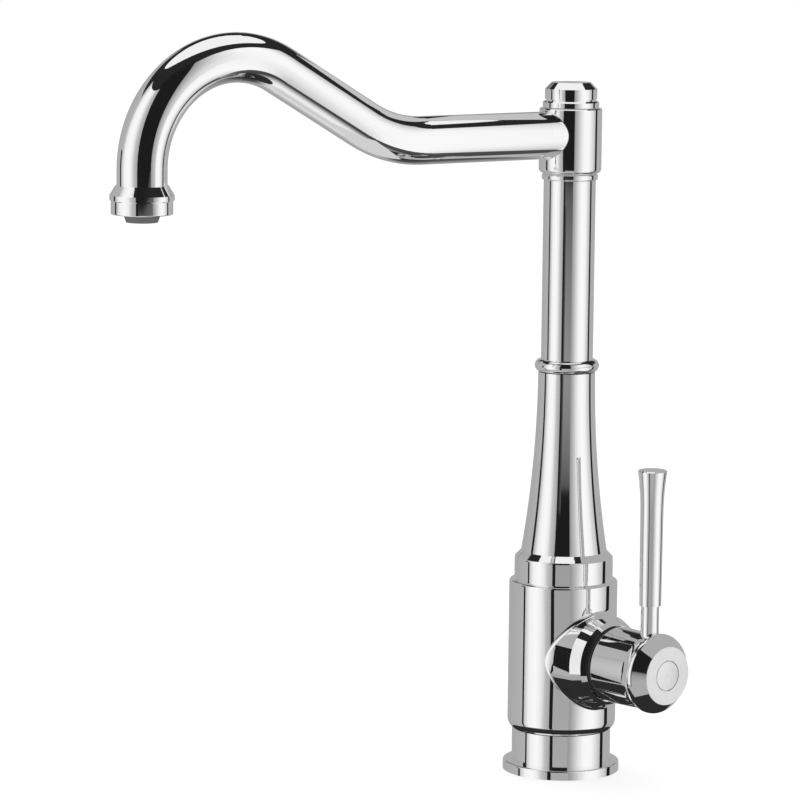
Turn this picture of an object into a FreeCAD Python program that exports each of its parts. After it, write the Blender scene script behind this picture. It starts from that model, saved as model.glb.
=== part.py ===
"""A tall single-lever mixer tap with a swivelling crook spout, piece by piece.

Millimetres. The column stands on the Z axis, the deck is z = 0, the lever's axis points along +X
and the user stands on the -Y side. The spout is drawn in the XZ plane and turned to its resting angle.
"""
import FreeCAD, Part
import Sketcher
import math
import os
from types import SimpleNamespace

SIZES = {
    # Fits and clearances
    "fit_gap": 0.05,          # radial gap of pieces fitted together
    "swivel_gap": 0.08,       # radial gap of the swivel head on its post
    "turn_gap": 0.3,          # gap of cartridge pieces that turn or slide
    # Base flange and its gasket
    "flange_w": 7.5,          # flange beyond the skirt inside it
    "flange_h": 4.5,
    "flange_edge": 0.8,
    "gasket_w": 2.4,
    "gasket_t": 1.6,
    # Body: neck, barrel and shoulder
    "neck_step": 2.2,         # neck inside the barrel
    "neck_h": 15.5,
    "register_wall": 1.9,     # skirt that stands inside the flange
    "register_lift": 1.0,     # its height over the deck
    "recess_h": 18.0,         # ceiling of the hose recess
    "recess_rim": 0.6,        # rim round the inlets in that ceiling
    "body_r": 25.4,
    "body_round": 4.5,
    "body_h": 66.3,
    "shoulder_h": 0.3,
    "shoulder_round": 1.1,    # rounded edge of the barrel
    "edge_round": 0.7,        # rounded edge of the collar, downwards
    "edge_in": 0.25,          # the same, inwards
    "lever_rise": 31.2,       # lever axis over the foot of the barrel
    "boss_r": 21.7,
    "boss_out": 22.92,        # front of the cartridge boss, beyond a fifth of the barrel's radius
    "skirt_x": 17.0,          # where the boss's curved skirt begins, from the axis
    # Waterways and threaded holes
    "inlet_y": 8.0,
    "inlet_r": 4.46,
    "inlet_depth": 13.0,
    "stud_x": 11.0,
    "stud_r": 3.4,
    "stud_depth": 15.0,
    "passage_r": 2.6,
    "passage_wall": 1.4,
    "chamber_depth": 15.0,
    "link_rise": 3.0,         # outlet's cross passage over the chamber floor
    # Column: collar, taper, bead and tube
    "shoulder_step": 2.35,    # collar inside the barrel
    "collar_h": 10.8,
    "collar_chamfer_h": 2.7,
    "nipple_r": 12.0,
    "nipple_bore_r": 8.0,
    "nipple_down": 8.5,
    "nipple_up": 12.0,
    "seal_w": 2.4,
    "seal_t": 1.6,
    "collar_step": 2.95,      # foot of the taper inside the collar
    "taper_h": 84.4,
    "taper_top_r": 13.3,
    "bead_minor_r": 3.0,
    "bead_major_r": 12.0,
    "column_r": 12.1,
    "column_wall": 2.8,
    "column_h": 83.6,
    "tang_wall": 1.5,
    "tang_depth": 17.0,
    # Swivel: post, rings, head and cap
    "post_r": 9.9,
    "post_wall": 3.2,
    "post_socket": 16.0,
    "oring_depth": 1.6,
    "oring_play": 0.5,
    "oring_inset": 3.2,       # groove middles from the ends of the head
    "ring_r": 13.05,
    "ring_h": 2.8,
    "ring_edge": 0.8,
    "slip_t": 0.4,
    "slip_inset": 0.6,
    "head_r": 14.55,
    "head_h": 30.0,
    "head_foot_round": 2.0,
    "head_edge": 0.4,
    "head_chamber_r": 11.6,
    "head_chamber_h": 13.0,
    "post_port_r": 3.0,
    "thread_r": 8.0,
    "thread_h": 8.0,
    "cap_ring_r": 13.1,
    "cap_ring_h": 3.0,
    "cap_ring_edge": 0.7,
    "cap_neck_r": 11.4,
    "cap_neck_h": 0.8,
    "cap_r": 12.15,
    "cap_h": 4.7,
    "cap_chamfer": 3.0,
    # Spout: centre line and tube
    "spout_angle": -95.9,     # resting direction in plan, degrees from +X
    "spout_up": 17.8,         # spout axis over the foot of the head
    "tube_r": 11.0,
    "tube_wall": 1.5,
    "stub_x": 18.5,           # end of the head's stub
    "stub_fillet": 0.5,
    "stub_sleeve": 6.0,
    "stub_bore_r": 7.0,
    "spout_run": 84.9,
    "bend_r": 64.15,
    "rise_angle": 29.4,
    "rise_run": 51.3,
    "crook_r": 47.1,
    "drop_run": 6.85,
    # Outlet and aerator
    "flare_r": 14.1,
    "flare_h": 4.1,
    "flare_ledge": 0.6,       # flat edge of the flare round the tube
    "flare_rim_h": 2.2,
    "outlet_line": 0.4,       # shadow line under the flared collar
    "sleeve_up": 4.0,
    "sleeve_wall": 1.3,
    "seal_seat": 2.7,         # aerator seat under the tube's end
    "shell_r": 13.5,
    "shell_h": 5.8,
    "shell_edge": 0.6,
    "shell_lip": 1.2,
    "shell_thread_r": 11.5,
    "shell_wall": 1.3,
    "aerator_seal_t": 1.2,
    "screen_t": 0.8,
    "nose_r": 8.1,
    "nose_tip_r": 6.95,
    "nose_out": 3.4,
    "jet_r": 0.75,
    "jet_pitch": 2.6,
    # Cartridge, set back from the front of the boss
    "boss_bore_r": 19.2,
    "nut_inset": 4.0,         # boss front to the back of the ring nut
    "nut_t": 3.0,
    "nut_bore_r": 12.5,
    "cart_r": 17.5,
    "cart_bore_r": 15.2,
    "cart_base_t": 4.5,
    "peg_r": 1.4,
    "peg_out": 2.5,
    "peg_y": 13.0,
    "disc_t": 3.5,
    "port_y": 3.9,
    "port_rise": 5.0,
    "port_r": 2.2,
    "outlet_drop": 6.0,
    "outlet_r": 2.8,
    "port_seal_w": 1.1,
    "port_seal_t": 1.2,
    "moving_r": 12.5,
    "moving_drop": 2.0,       # rest position of the moving disc below the axis
    "mix_r": 5.0,
    "mix_drop": 4.6,
    "mix_depth": 2.2,
    "carrier_t": 7.2,
    "carrier_flat": 9.2,      # half width over its flats
    "ball_r": 3.0,
    "ball_arm": 9.0,          # pivot to ball
    "turret_r": 13.0,
    "turret_len": 10.8,
    "turret_neck_r": 12.0,
    "turret_flange_r": 16.3,
    "turret_flange_t": 2.0,
    "lug_w": 2.8,
    "lug_half": 5.0,
    "lug_out": 5.0,
    "pivot_inset": 4.0,       # ring nut's back to the pivot
    "pin_r": 1.5,
    "pin_half": 12.5,
    "slot_up": 9.0,
    "slot_down": 9.8,
    # Bonnet, dome and spindle
    "bonnet_rim_x": 5.1,
    "bonnet_rim_r": 19.6,
    "bonnet_lip_x": 7.4,
    "bonnet_lip_r": 17.95,
    "dome_r": 23.8,
    "dome_t": 0.9,
    "dome_slot_up": 4.3,
    "dome_slot_down": 14.2,
    "spindle_w": 8.0,
    "spindle_t": 7.0,
    "spindle_neck_r": 2.0,
    "spindle_back": 4.5,      # bar behind the pivot
    "spindle_front": 37.0,    # bar ahead of the pivot
    # Lever hub, its screw and button
    "hub_gap": 2.3,           # shadow gap between bonnet and hub
    "hub_r": 17.8,
    "hub_waist_r": 17.4,      # narrowest, where the flare starts
    "hub_wall": 0.9,
    "hub_edge": 0.5,
    "hub_cavity": 7.8,
    "hub_flare_x": 20.3,      # rear edge to the start of the flare
    "hub_flare_len": 5.0,
    "hub_rim_r": 18.5,
    "hub_rim_w": 0.7,
    "hub_round_x": 1.6,       # rounding between rim and bevel
    "hub_round_in": 0.58,
    "hub_len": 32.9,
    "face_r": 13.45,
    "screw_head_r": 4.5,
    "screw_head_t": 3.2,
    "screw_r": 2.45,
    "screw_len": 15.0,
    "screw_key_r": 2.0,
    "screw_play": 0.35,
    "screw_web": 4.0,
    "button_r": 6.94,
    "button_t": 2.8,
    "button_gap": 0.2,
    "button_dome": 0.3,
    # Lever: stem and grip
    "lever_x": 20.6,          # lever from the hub's rear edge
    "stem_r": 4.2,
    "stem_seat": 1.5,
    "stem_tang_r": 3.0,
    "stem_tang": 7.0,
    "stem_top": 31.1,         # grip's foot over the lever axis
    "grip_foot_r": 5.1,
    "grip_waist_r": 5.3,
    "grip_top_r": 6.75,
    "grip_len": 62.8,
    "grip_flare": 19.5,
    "grip_edge": 0.5,
}

LEFT = 1
RIGHT = -1
TURN_FULL = 360
V = FreeCAD.Vector

doc = FreeCAD.newDocument("mixer_tap")
sheet = doc.addObject("Spreadsheet::Sheet", "sizes")
for row, (name, value) in enumerate(SIZES.items(), start=1):
    sheet.set(f"A{row}", name)
    sheet.set(f"B{row}", str(value))
    sheet.setAlias(f"B{row}", name)
doc.recompute()


class Size:
    """A length: its value, and the expression of sheet cells that gives it."""

    def __init__(self, value, text):
        self.value = value
        self.text = text

    def __add__(self, other):
        return Size(self.value + value_of(other), f"({self.text} + {text_of(other)})")

    def __radd__(self, other):
        return self + other

    def __sub__(self, other):
        return Size(self.value - value_of(other), f"({self.text} - {text_of(other)})")

    def __rsub__(self, other):
        return Size(value_of(other) - self.value, f"({text_of(other)} - {self.text})")

    def __mul__(self, other):
        return Size(self.value * value_of(other), f"({self.text} * {text_of(other)})")

    def __rmul__(self, other):
        return self * other

    def __truediv__(self, other):
        return Size(self.value / value_of(other), f"({self.text} / {text_of(other)})")

    def __neg__(self):
        return Size(-self.value, f"(0 - {self.text})")


def value_of(size):
    return size.value if isinstance(size, Size) else float(size)


def text_of(size):
    return size.text if isinstance(size, Size) else str(size)


def root(size):
    return Size(math.sqrt(size.value), f"sqrt({size.text})")


def sine(angle):
    return Size(math.sin(math.radians(angle.value)), f"sin({angle.text})")


def cosine(angle):
    return Size(math.cos(math.radians(angle.value)), f"cos({angle.text})")


def blend_radius(along, across):
    """Radius of an arc that starts straight on and moves across over a given run."""
    return (along * along + across * across) / (2 * across)


s = SimpleNamespace(**{name: Size(value, f"sizes.{name}") for name, value in SIZES.items()})

# Heights of the standing pieces
z_neck = s.flange_h + s.neck_h
z_barrel = z_neck + s.body_round
z_shoulder = z_barrel + s.body_h
z_collar = z_shoulder + s.shoulder_h
z_taper = z_collar + s.collar_h + s.collar_chamfer_h
z_bead = z_taper + s.taper_h
z_tube = z_bead + s.bead_minor_r * 2
z_ring = z_tube + s.column_h
z_slip = z_ring + s.ring_h
z_head = z_slip + s.slip_t
z_head_top = z_head + s.head_h
z_cap_ring = z_head_top + s.slip_t
z_cap = z_cap_ring + s.cap_ring_h
z_cap_body = z_cap + s.cap_neck_h
z_cap_chamfer = z_cap_body + s.cap_h
z_lever = z_barrel + s.lever_rise
z_spout = z_head + s.spout_up

# Places along the lever's axis, from the column's axis
boss_x = s.body_r / 5 + s.boss_out
x_nut = boss_x - s.nut_inset
x_turret = x_nut - s.turret_len
x_carrier = x_turret - s.carrier_t - s.turn_gap * 2
x_moving = x_carrier - s.disc_t
x_fixed = x_moving - s.disc_t
x_seat = x_fixed - s.cart_base_t
x_pivot = x_nut - s.pivot_inset
x_flange = x_nut + s.nut_t + s.turn_gap
x_hub = boss_x + s.bonnet_lip_x + s.hub_gap
x_web = x_hub + s.hub_cavity
x_face = x_hub + s.hub_len
x_button = x_face - s.button_t
x_spindle = x_pivot + s.spindle_front
x_screw = x_spindle + s.screw_web
x_lever = x_hub + s.lever_x
x_passage = x_seat - s.passage_wall - s.passage_r
x_outlet = x_passage - s.passage_r * 2 - s.passage_wall

# Radii that follow from the barrel and the fits
neck_r = s.body_r - s.neck_step
collar_r = s.body_r - s.shoulder_step
taper_foot_r = collar_r - s.collar_step
pocket_r = s.cart_r + s.fit_gap
recess_r = root(x_passage * x_passage + s.inlet_y * s.inlet_y) + s.inlet_r + s.recess_rim
register_r = recess_r + s.register_wall
flange_r = register_r + s.flange_w
column_bore_r = s.column_r - s.column_wall
tang_r = column_bore_r + s.tang_wall
post_bore_r = s.post_r - s.post_wall
tube_bore_r = s.tube_r - s.tube_wall
skirt_r = s.turret_flange_r + s.fit_gap + s.dome_t
insert_r = s.shell_thread_r - s.shell_wall

# The three ports of the cartridge, as places across its axis: sideways, upwards, radius
PORTS = {
    "hot": (s.port_y, s.port_rise, s.port_r),
    "cold": (-s.port_y, s.port_rise, s.port_r),
    "mixed": (0, -s.outlet_drop, s.outlet_r),
}

# The spout's centre line: level run, bend up, rising run, crook, drop
rise_sin = sine(s.rise_angle)
rise_cos = cosine(s.rise_angle)
bend_x = s.spout_run + s.bend_r * rise_sin
bend_z = z_spout + s.bend_r * (1 - rise_cos)
crook_x = bend_x + s.rise_run * rise_cos
crook_z = bend_z + s.rise_run * rise_sin
reach = crook_x + s.crook_r * rise_sin + s.crook_r
drop_z = crook_z - s.crook_r * rise_cos
z_outlet = drop_z - s.drop_run
z_flare = z_outlet - s.flare_h
z_shell = z_flare - s.flare_rim_h - s.outlet_line
z_shell_foot = z_shell - s.shell_h
z_aerator_seat = z_outlet - s.seal_seat
z_aerator_seal = z_aerator_seat - s.aerator_seal_t
z_screen = z_aerator_seal - s.screen_t

NODES = []


def bind(item, path, size):
    item.setExpression(path, text_of(size))


def place(item, x=0, y=0, z=0, turn=None):
    """Sets an object down at x, y, z, turned by a fixed rotation."""
    item.Placement = FreeCAD.Placement(V(0, 0, 0), turn or FreeCAD.Rotation())
    for axis, size in zip("xyz", (x, y, z)):
        bind(item, f"Placement.Base.{axis}", size)
    return item


def node(item, label):
    """Makes an object one of the tap's named pieces."""
    item.Label = label
    NODES.append(item)
    return item


Z_TO_X = FreeCAD.Rotation(V(0, 1, 0), 90)
Z_TO_Y = FreeCAD.Rotation(V(1, 0, 0), -90)


def on_lever_axis(item):
    """Lays a piece drawn along Z on the lever's axis. Its own -X then points up."""
    return place(item, z=z_lever, turn=Z_TO_X)


def on_spout(item):
    """Turns a piece drawn in the XZ plane to the spout's resting angle."""
    place(item, turn=FreeCAD.Rotation(V(0, 0, 1), s.spout_angle.value))
    bind(item, "Placement.Rotation.Angle", s.spout_angle)
    return item


def at_outlet(item, z=0):
    """Sets a turned piece on the axis of the spout's outlet."""
    return place(item, reach * cosine(s.spout_angle), reach * sine(s.spout_angle), z)


def origin_plane(body, role):
    return next(plane for plane in body.Origin.OriginFeatures if plane.Role == role)


def new_sketch(body, name, plane):
    sketch = body.newObject("Sketcher::SketchObject", name)
    sketch.AttachmentSupport = (origin_plane(body, plane), "")
    sketch.MapMode = "FlatFace"
    return sketch


def arc_between(start, end, side, radius):
    """The short arc from start to end, with its centre on the given side of the way."""
    chord = end - start
    reach_in = math.sqrt(max(radius ** 2 - chord.Length ** 2 / 4, 0))
    aside = V(-chord.y, chord.x, 0).normalize() * reach_in * side
    centre = (start + end) * 0.5 + aside
    first, last = (start, end) if side == LEFT else (end, start)
    angle = math.atan2(first.y - centre.y, first.x - centre.x)
    angle_end = math.atan2(last.y - centre.y, last.x - centre.x)
    if angle_end < angle:
        angle_end += 2 * math.pi
    return Part.ArcOfCircle(Part.Circle(centre, V(0, 0, 1), radius), angle, angle_end)


def draw(sketch, corners, closed=True):
    """Draws an outline whose corners (across, up) are held by the sheet.

    A corner may add (side, radius): the way on to the next corner is then an arc.
    """
    points = [V(value_of(corner[0]), value_of(corner[1]), 0) for corner in corners]
    count = len(corners) if closed else len(corners) - 1
    ends = []
    shapes = []
    for i in range(count):
        start, end = points[i], points[(i + 1) % len(points)]
        bend = corners[i][2] if len(corners[i]) > 2 else None
        if bend:
            shapes.append(arc_between(start, end, bend[0], value_of(bend[1])))
        else:
            shapes.append(Part.LineSegment(start, end))
        ends.append((2, 1) if bend and bend[0] == RIGHT else (1, 2))
    sketch.addGeometry(shapes)
    rules = []
    texts = {}
    for i in range(count if closed else count - 1):
        after = (i + 1) % count
        rules.append(Sketcher.Constraint("Coincident", i, ends[i][1], after, ends[after][0]))
    for i, corner in enumerate(corners):
        line, end = (i, ends[i][0]) if i < count else (count - 1, ends[count - 1][1])
        for kind, size in zip(("DistanceX", "DistanceY"), corner):
            texts[len(rules)] = text_of(size)
            rules.append(Sketcher.Constraint(kind, -1, 1, line, end, value_of(size)))
        if i < count and len(corner) > 2:
            texts[len(rules)] = text_of(corner[2][1])
            rules.append(Sketcher.Constraint("Radius", i, value_of(corner[2][1])))
    sketch.addConstraint(rules)
    for i, text in texts.items():
        sketch.setExpression(f"Constraints[{i}]", text)
    return sketch


def draw_circle(sketch, radius, up=0):
    """Draws a circle over the sketch's origin."""
    number = sketch.addGeometry(Part.Circle(V(0, value_of(up), 0), V(0, 0, 1), value_of(radius)))
    first = sketch.ConstraintCount
    sketch.addConstraint([
        Sketcher.Constraint("PointOnObject", number, 3, -2),
        Sketcher.Constraint("DistanceY", -1, 1, number, 3, value_of(up)),
        Sketcher.Constraint("Radius", number, value_of(radius)),
    ])
    sketch.setExpression(f"Constraints[{first + 1}]", text_of(up))
    sketch.setExpression(f"Constraints[{first + 2}]", text_of(radius))
    return sketch


def turned(name, corners, plane="XZ_Plane"):
    """A body turned about its Z axis from an outline of (radius, height) corners."""
    body = doc.addObject("PartDesign::Body", name)
    sketch = draw(new_sketch(body, f"{name}_outline", plane), corners)
    solid = body.newObject("PartDesign::Revolution", f"{name}_turning")
    solid.Profile = sketch
    solid.ReferenceAxis = (sketch, ["V_Axis"])
    solid.Angle = TURN_FULL
    return body


def tube_ring(name, inner, outer, low, high):
    """A plain turned ring."""
    return turned(name, [(inner, low), (outer, low), (outer, high), (inner, high)])


def pad_along_x(body, name, radius, length, up):
    """Adds a round stub that points along +X from the body's axis."""
    sketch = draw_circle(new_sketch(body, f"{name}_circle", "YZ_Plane"), radius, up)
    pad = body.newObject("PartDesign::Pad", name)
    pad.Profile = sketch
    bind(pad, "Length", length)
    doc.recompute()
    return pad


def boss_along_x(body, name, corners):
    """Adds a round boss turned about the first line of its outline, which lies along +X."""
    sketch = draw(new_sketch(body, f"{name}_outline", "XZ_Plane"), corners)
    doc.recompute()
    boss = body.newObject("PartDesign::Revolution", name)
    boss.Profile = sketch
    boss.ReferenceAxis = (sketch, ["Edge1"])
    boss.Angle = TURN_FULL
    doc.recompute()
    return boss


def fillet_saddle(body, boss, name, upright_r, widest_r, up, radius):
    """Rounds the line where a level boss meets an upright cylinder."""
    names = []
    for number, edge in enumerate(boss.Shape.Edges, start=1):
        point = edge.valueAt((edge.FirstParameter + edge.LastParameter) / 2)
        off_upright = math.hypot(point.x, point.y) - upright_r.value
        past_boss = math.hypot(point.y, point.z - up.value) - widest_r.value
        if max(abs(off_upright), past_boss) < s.fit_gap.value and point.x > 0:
            names.append(f"Edge{number}")
    fillet = body.newObject("PartDesign::Fillet", name)
    fillet.Base = (boss, names)
    bind(fillet, "Radius", radius)
    return fillet


def rod(name, radius, length, x=0, y=0, z=0, turn=None):
    """A cylinder that starts at x, y, z and runs along Z, or as turned."""
    item = doc.addObject("Part::Cylinder", name)
    bind(item, "Radius", radius)
    bind(item, "Height", length)
    return place(item, x, y, z, turn)


def block(name, length, width, height, x, y, z):
    """A box with its lowest corner at x, y, z."""
    item = doc.addObject("Part::Box", name)
    for path, size in zip(("Length", "Width", "Height"), (length, width, height)):
        bind(item, path, size)
    return place(item, x, y, z)


def together(name, items, kind="Part::MultiFuse"):
    if len(items) == 1:
        return items[0]
    item = doc.addObject(kind, name)
    if kind == "Part::Compound":
        item.Links = items
    else:
        item.Shapes = items
    return item


def cut(name, base, tools):
    item = doc.addObject("Part::Cut", name)
    item.Base = base
    item.Tool = together(f"{name}_tools", tools)
    return item


def make_base_flange():
    """Turned ring on the deck, grooved underneath for its gasket."""
    inner = register_r + s.fit_gap
    groove = (inner + flange_r - s.flange_edge) / 2
    groove_in = groove - s.gasket_w / 2
    groove_out = groove + s.gasket_w / 2
    node(turned("base_flange", [
        (inner, 0),
        (groove_in, 0),
        (groove_in, s.gasket_t),
        (groove_out, s.gasket_t),
        (groove_out, 0),
        (flange_r, 0),
        (flange_r, s.flange_h - s.flange_edge, (LEFT, s.flange_edge)),
        (flange_r - s.flange_edge, s.flange_h),
        (inner, s.flange_h),
    ]), "base_flange")
    gasket = tube_ring("base_gasket", groove_in + s.fit_gap, groove_out - s.fit_gap, 0, s.gasket_t)
    node(gasket, "base_gasket")


def body_casting():
    """Outside of the body: neck, rounded barrel, shoulder and the skirted cartridge boss."""
    round_r = blend_radius(s.body_round, s.body_r - neck_r)
    casting = turned("body_casting", [
        (0, s.register_lift),
        (register_r, s.register_lift),
        (register_r, s.flange_h),
        (neck_r, s.flange_h),
        (neck_r, z_neck, (LEFT, round_r)),
        (s.body_r, z_barrel),
        (s.body_r, z_shoulder - s.shoulder_round, (LEFT, s.shoulder_round)),
        (s.body_r - s.shoulder_round, z_shoulder),
        (collar_r, z_collar),
        (0, z_collar),
    ], plane="YZ_Plane")
    widest_r = (s.boss_r + s.body_r) / 2
    x_start = root(s.body_r * s.body_r - widest_r * widest_r) * 5 / 6
    bow_r = blend_radius(s.skirt_x - x_start, widest_r - s.boss_r)
    boss = boss_along_x(casting, "cartridge_boss", [
        (x_start, z_lever),
        (boss_x, z_lever),
        (boss_x, z_lever + s.boss_r),
        (s.skirt_x, z_lever + s.boss_r, (RIGHT, bow_r)),
        (x_start, z_lever + widest_r),
    ])
    fillet_r = (boss_x - s.body_r) * 15 / 16
    fillet_saddle(casting, boss, "boss_fillet", s.body_r, widest_r, z_lever, fillet_r)
    return casting


def body_hollows():
    """Cartridge pocket, hose recess, threaded holes and the waterways between them."""
    z_chamber = z_collar - s.chamber_depth
    z_port = z_lever + s.port_rise
    z_mixed = z_lever - s.outlet_drop
    z_link = z_chamber + s.link_rise
    pocket = boss_x - x_seat
    tools = [
        rod("pocket", pocket_r, pocket, x_seat, 0, z_lever, Z_TO_X),
        rod("boss_bore", s.boss_bore_r, s.nut_inset, x_nut, 0, z_lever, Z_TO_X),
        rod("recess", recess_r, s.recess_h - s.register_lift, 0, 0, s.register_lift),
        rod("chamber", s.nipple_r + s.fit_gap, s.chamber_depth, 0, 0, z_chamber),
        rod("stud_hole", s.stud_r, s.stud_depth, s.stud_x, 0, s.recess_h),
        rod("mixed_port", s.outlet_r, x_seat - x_outlet, x_outlet, 0, z_mixed, Z_TO_X),
        rod("mixed_riser", s.passage_r, z_link - z_mixed, x_outlet, 0, z_mixed),
        rod("mixed_link", s.passage_r, -x_outlet, x_outlet, 0, z_link, Z_TO_X),
    ]
    for side, hand in ((1, "hot"), (-1, "cold")):
        lateral_y = s.port_y if side > 0 else -s.inlet_y
        tools += [
            rod(f"{hand}_inlet", s.inlet_r, s.inlet_depth, x_passage, side * s.inlet_y, s.recess_h),
            rod(f"{hand}_riser", s.passage_r, z_port - s.recess_h, x_passage, side * s.inlet_y, s.recess_h),
            rod(f"{hand}_cross", s.port_r, s.inlet_y - s.port_y, x_passage, lateral_y, z_port, Z_TO_Y),
            rod(f"{hand}_port", s.port_r, x_seat - x_passage, x_passage, side * s.port_y, z_port, Z_TO_X),
            rod(f"{hand}_peg_hole", s.peg_r + s.fit_gap, s.peg_out + s.turn_gap,
                x_seat - s.peg_out - s.turn_gap, side * s.peg_y, z_lever, Z_TO_X),
        ]
    return tools


def make_column():
    """Collar, taper, bead and tube, held together by the nipple and the tube's tang."""
    nipple_bore = s.nipple_r + s.fit_gap
    seal_middle = (s.nipple_r + collar_r) / 2
    seal_in = seal_middle - s.seal_w / 2
    seal_out = seal_middle + s.seal_w / 2
    z_edge = z_collar + s.collar_h
    edge_r = blend_radius(s.edge_round, s.edge_in)
    node(turned("column_collar", [
        (nipple_bore, z_collar),
        (seal_in, z_collar),
        (seal_in, z_collar + s.seal_t),
        (seal_out, z_collar + s.seal_t),
        (seal_out, z_collar),
        (collar_r, z_collar),
        (collar_r, z_edge - s.edge_round, (LEFT, edge_r)),
        (collar_r - s.edge_in, z_edge),
        (taper_foot_r, z_taper),
        (nipple_bore, z_taper),
    ]), "column_collar")
    seal = tube_ring("column_seal", seal_in + s.fit_gap, seal_out - s.fit_gap, z_collar, z_collar + s.seal_t)
    node(seal, "column_seal")
    z_nipple = z_taper + s.nipple_up
    nipple = tube_ring("column_nipple", s.nipple_bore_r, s.nipple_r, z_collar - s.nipple_down, z_nipple)
    node(nipple, "column_nipple")
    taper_r = blend_radius(s.taper_h, taper_foot_r - s.taper_top_r)
    tang_bore = tang_r + s.fit_gap
    z_tang = z_bead - s.tang_depth
    node(turned("tapered_column", [
        (nipple_bore, z_taper),
        (taper_foot_r, z_taper, (RIGHT, taper_r)),
        (s.taper_top_r, z_bead),
        (tang_bore, z_bead),
        (tang_bore, z_tang),
        (column_bore_r, z_tang),
        (column_bore_r, z_nipple),
        (nipple_bore, z_nipple),
    ]), "tapered_column")
    bead_middle = z_bead + s.bead_minor_r
    node(turned("bead_ring", [
        (tang_bore, z_bead),
        (s.bead_major_r, z_bead, (LEFT, s.bead_minor_r)),
        (s.bead_major_r + s.bead_minor_r, bead_middle, (LEFT, s.bead_minor_r)),
        (s.bead_major_r, z_tube),
        (tang_bore, z_tube),
    ]), "bead_ring")
    socket_r = s.post_r + s.fit_gap
    z_socket = z_ring - s.post_socket
    node(turned("column_tube", [
        (column_bore_r, z_tang),
        (tang_r, z_tang),
        (tang_r, z_tube),
        (s.column_r, z_tube),
        (s.column_r, z_ring),
        (socket_r, z_ring),
        (socket_r, z_socket),
        (column_bore_r, z_socket),
    ]), "column_tube")


def make_swivel_post():
    """Hollow post that the head turns on, with its cross ports, sealing rings and slip washers."""
    grooves = [z_head + s.oring_inset, z_head_top - s.oring_inset]
    groove_r = s.post_r - s.oring_depth
    half = (s.oring_depth + s.oring_play) / 2
    corners = [(post_bore_r, z_ring - s.post_socket), (s.post_r, z_ring - s.post_socket)]
    for middle in grooves:
        corners += [
            (s.post_r, middle - half),
            (groove_r, middle - half),
            (groove_r, middle + half),
            (s.post_r, middle + half),
        ]
    z_bore_top = z_head_top - s.post_wall
    corners += [
        (s.post_r, z_cap_ring),
        (s.thread_r, z_cap_ring),
        (s.thread_r, z_cap_ring + s.thread_h),
        (0, z_cap_ring + s.thread_h),
        (0, z_bore_top),
        (post_bore_r, z_bore_top),
    ]
    ports = [
        rod("post_port_x", s.post_port_r, s.post_r * 2, -s.post_r, 0, z_spout, Z_TO_X),
        rod("post_port_y", s.post_port_r, s.post_r * 2, 0, -s.post_r, z_spout, Z_TO_Y),
    ]
    node(cut("spigot", turned("post", corners), ports), "spigot")
    rings = []
    for number, middle in enumerate(grooves):
        ring = doc.addObject("Part::Torus", f"oring_{number}")
        bind(ring, "Radius1", s.post_r - s.oring_depth / 2)
        bind(ring, "Radius2", s.oring_depth / 2)
        rings.append(place(ring, z=middle))
    node(together("orings", rings, "Part::Compound"), "spigot_orings")
    around = s.post_r + s.fit_gap
    node(turned("bearing_ring", [
        (around, z_ring),
        (s.ring_r - s.ring_edge, z_ring, (LEFT, s.ring_edge)),
        (s.ring_r, z_ring + s.ring_edge),
        (s.ring_r, z_slip - s.ring_edge, (LEFT, s.ring_edge)),
        (s.ring_r - s.ring_edge, z_slip),
        (around, z_slip),
    ]), "bearing_ring")
    washer_r = s.ring_r - s.slip_inset
    node(tube_ring("lower_slip_washer", around, washer_r, z_slip, z_head), "lower_slip_washer")
    node(tube_ring("upper_slip_washer", around, washer_r, z_head_top, z_cap_ring), "upper_slip_washer")


def make_cap():
    """Ring nut that holds the head down, and the cap screwed over the post."""
    bore = s.thread_r + s.fit_gap
    node(turned("cap_ring", [
        (bore, z_cap_ring),
        (s.cap_ring_r, z_cap_ring),
        (s.cap_ring_r, z_cap - s.cap_ring_edge),
        (s.cap_ring_r - s.cap_ring_edge, z_cap),
        (bore, z_cap),
    ]), "cap_ring")
    z_thread = z_cap_ring + s.thread_h + s.fit_gap
    node(turned("cap_nut", [
        (bore, z_cap),
        (s.cap_neck_r, z_cap),
        (s.cap_neck_r, z_cap_body),
        (s.cap_r, z_cap_body),
        (s.cap_r, z_cap_chamfer),
        (s.cap_r - s.cap_chamfer, z_cap_chamfer + s.cap_chamfer),
        (0, z_cap_chamfer + s.cap_chamfer),
        (0, z_thread),
        (bore, z_thread),
    ]), "cap_nut")


def make_swivel_head():
    """Turning head with the stub and sleeve that carry the spout tube."""
    head = turned("head_turning", [
        (0, z_head),
        (s.head_r - s.head_foot_round, z_head, (LEFT, s.head_foot_round)),
        (s.head_r, z_head + s.head_foot_round),
        (s.head_r, z_head_top - s.head_edge),
        (s.head_r - s.head_edge, z_head_top),
        (0, z_head_top),
    ], plane="YZ_Plane")
    stub = pad_along_x(head, "spout_stub", s.tube_r, s.stub_x, z_spout)
    fillet_saddle(head, stub, "stub_fillet", s.head_r, s.tube_r, z_spout, s.stub_fillet)
    sleeve_r = tube_bore_r - s.fit_gap
    waterway = s.stub_x + s.stub_sleeve
    sleeve_back = s.stub_x - s.tube_wall
    sleeve = rod("stub_sleeve", sleeve_r, waterway - sleeve_back, sleeve_back, 0, z_spout, Z_TO_X)
    whole = together("head_and_sleeve", [head, sleeve])
    tools = [
        rod("head_bore", s.post_r + s.swivel_gap, s.head_h, 0, 0, z_head),
        rod("head_chamber", s.head_chamber_r, s.head_chamber_h, 0, 0, z_spout - s.head_chamber_h / 2),
        rod("head_waterway", s.stub_bore_r, waterway, 0, 0, z_spout, Z_TO_X),
    ]
    node(on_spout(cut("swivel_head", whole, tools)), "swivel_head")


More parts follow.
